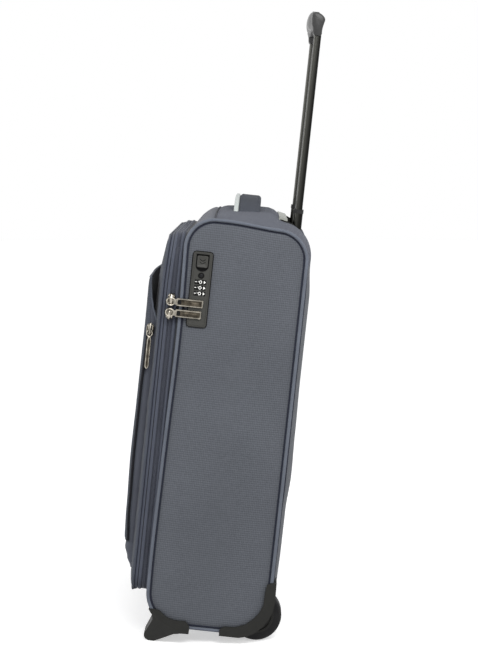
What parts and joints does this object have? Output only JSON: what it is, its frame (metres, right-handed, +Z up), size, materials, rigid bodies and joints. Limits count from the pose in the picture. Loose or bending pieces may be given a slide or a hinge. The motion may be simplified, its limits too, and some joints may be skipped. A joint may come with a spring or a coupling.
{
  "type": "softside upright suitcase",
  "caption": "Softside upright cabin suitcase on two rear wheels, with a zipped lid, a front pocket, a combination lock, a carry handle and a telescopic handle.",
  "frame": {"origin": "on the floor under the middle of the whole object's box, with the handle raised as at rest", "axes": "+Z up, +X towards the side with the lock, -Y towards the lid and pocket; the case leans back towards +Y on its front feet and rear wheels"},
  "size_m": [0.4004, 0.2497, 0.778],
  "materials": {
    "fabric": "woven polyester, slate blue-grey",
    "piping": "smooth woven piping",
    "board": "matt board",
    "corner_plastic": "fine-grained moulded plastic",
    "lock_plastic": "fine-grained moulded plastic",
    "black_tube": "black anodised",
    "hoop_steel": "black painted spring steel",
    "pull_metal": "antique silver",
    "steel": "bright",
    "grip_plastic": "satin moulded plastic",
    "light_trim": "satin light grey",
    "tyre": "matt rubber",
    "dial": "black with white figures"
  },
  "bodies": {
    "case": {"side_panel_right": "fabric", "side_panel_left": "fabric", "top_panel": "fabric", "bottom_panel": "fabric", "back_panel": "fabric", "front_panel": "fabric", "piping": "piping", "frame_hoop": "hoop_steel", "back_board": "board", "bottom_board": "board", "zip_frame": "fabric", "hinge_tape": "fabric", "handle_cup": "corner_plastic", "cup_lip": "light_trim", "outer_tubes": "black_tube", "tube_base": "board", "screws": "steel", "wheel_housing_right": "corner_plastic", "wheel_housing_left": "corner_plastic", "axles": "steel", "front_foot_right": "corner_plastic", "front_foot_left": "corner_plastic", "lock_plate": "lock_plastic", "lock_body": "board", "dial_shaft": "steel", "carry_handle": "fabric", "handle_trim": "light_trim"},
    "lid": {"lid_gusset": "fabric", "lid_panel": "fabric", "lid_piping": "piping", "zip_lid_half": "fabric", "pocket_front": "fabric", "pocket_gusset": "fabric", "pocket_base": "fabric", "pocket_zip_tape": "fabric"},
    "middle_stage": {"middle_tubes": "black_tube", "middle_collars": "grip_plastic"},
    "grip_stage": {"inner_tubes": "black_tube", "grip_front_shell": "grip_plastic", "grip_rear_shell": "grip_plastic"},
    "handle_button": {"grip_button": "grip_plastic", "push_rods": "steel", "button_spring": "steel"},
    "right_wheel": {"wheel_hub_right": "corner_plastic", "tyre_right": "tyre", "bearings_right": "steel"},
    "left_wheel": {"wheel_hub_left": "corner_plastic", "tyre_left": "tyre", "bearings_left": "steel"},
    "upper_zip_slider": {"upper_slider": "pull_metal"},
    "lower_zip_slider": {"lower_slider": "pull_metal"},
    "upper_zip_pull": {"upper_pull": "pull_metal"},
    "lower_zip_pull": {"lower_pull": "pull_metal"},
    "pocket_zip_slider": {"pocket_slider": "pull_metal"},
    "pocket_zip_pull": {"pocket_pull": "pull_metal"},
    "first_dial": {"dial_1": "dial"},
    "second_dial": {"dial_2": "dial"},
    "third_dial": {"dial_3": "dial"},
    "lock_release": {"lock_button": "lock_plastic"},
    "key": {"key_cylinder": "steel"}
  },
  "joints": [
    {"name": "lid_hinge", "type": "hinge", "parent": "case", "child": "lid", "pos_m": [-0.19, -0.08377, 0.28725], "axis": [0, -0.1045, -0.9945], "range_deg": [0, 170]},
    {"name": "middle_slide", "type": "slide", "parent": "case", "child": "middle_stage", "axis": [0, 0.1045, 0.9945], "range_m": [-0.0515, 0.23]},
    {"name": "grip_slide", "type": "slide", "parent": "middle_stage", "child": "grip_stage", "axis": [0, 0.1045, 0.9945], "range_m": [-0.2145, 0]},
    {"name": "button_press", "type": "slide", "parent": "grip_stage", "child": "handle_button", "axis": [0, -0.1045, -0.9945], "range_m": [0, 0.004], "stiffness_N_per_m": 1200, "deforming": ["button_spring"]},
    {"name": "right_wheel_spin", "type": "hinge", "parent": "case", "child": "right_wheel", "pos_m": [0.169, 0.039, 0.0315], "axis": [1, 0, 0], "continuous": true},
    {"name": "left_wheel_spin", "type": "hinge", "parent": "case", "child": "left_wheel", "pos_m": [-0.169, 0.039, 0.0315], "axis": [1, 0, 0], "continuous": true},
    {"name": "upper_slider_run", "type": "slide", "parent": "case", "child": "upper_zip_slider", "axis": [0, 0.1045, 0.9945], "range_m": [0, 0.038]},
    {"name": "lower_slider_run", "type": "slide", "parent": "case", "child": "lower_zip_slider", "axis": [0, -0.1045, -0.9945], "range_m": [0, 0.29]},
    {"name": "upper_pull_turn", "type": "hinge", "parent": "upper_zip_slider", "child": "upper_zip_pull", "pos_m": [0.199, -0.0627, 0.42078], "axis": [0, -0.1045, -0.9945], "range_deg": [0, 165]},
    {"name": "lower_pull_turn", "type": "hinge", "parent": "lower_zip_slider", "child": "lower_zip_pull", "pos_m": [0.199, -0.06399, 0.40844], "axis": [0, -0.1045, -0.9945], "range_deg": [0, 165]},
    {"name": "pocket_slider_run", "type": "slide", "parent": "lid", "child": "pocket_zip_slider", "axis": [0, 0.1045, 0.9945], "range_m": [-0.24, 0.05]},
    {"name": "pocket_pull_swing", "type": "hinge", "parent": "pocket_zip_slider", "child": "pocket_zip_pull", "pos_m": [0.173, -0.09017, 0.37942], "axis": [0, -0.9945, 0.1045], "range_deg": [0, 150]},
    {"name": "first_dial_turn", "type": "hinge", "parent": "case", "child": "first_dial", "pos_m": [0.1912, -0.02746, 0.44422], "axis": [0, 0.1045, 0.9945], "continuous": true},
    {"name": "second_dial_turn", "type": "hinge", "parent": "case", "child": "second_dial", "pos_m": [0.1912, -0.02818, 0.43736], "axis": [0, 0.1045, 0.9945], "continuous": true},
    {"name": "third_dial_turn", "type": "hinge", "parent": "case", "child": "third_dial", "pos_m": [0.1912, -0.0289, 0.4305], "axis": [0, 0.1045, 0.9945], "continuous": true},
    {"name": "lock_slide", "type": "slide", "parent": "case", "child": "lock_release", "axis": [0, -0.1045, -0.9945], "range_m": [0, 0.004], "stiffness_N_per_m": 300},
    {"name": "key_turn", "type": "hinge", "parent": "case", "child": "key", "pos_m": [0.195, -0.02664, 0.45198], "axis": [1, 0, 0], "range_deg": [0, 90]}
  ]
}
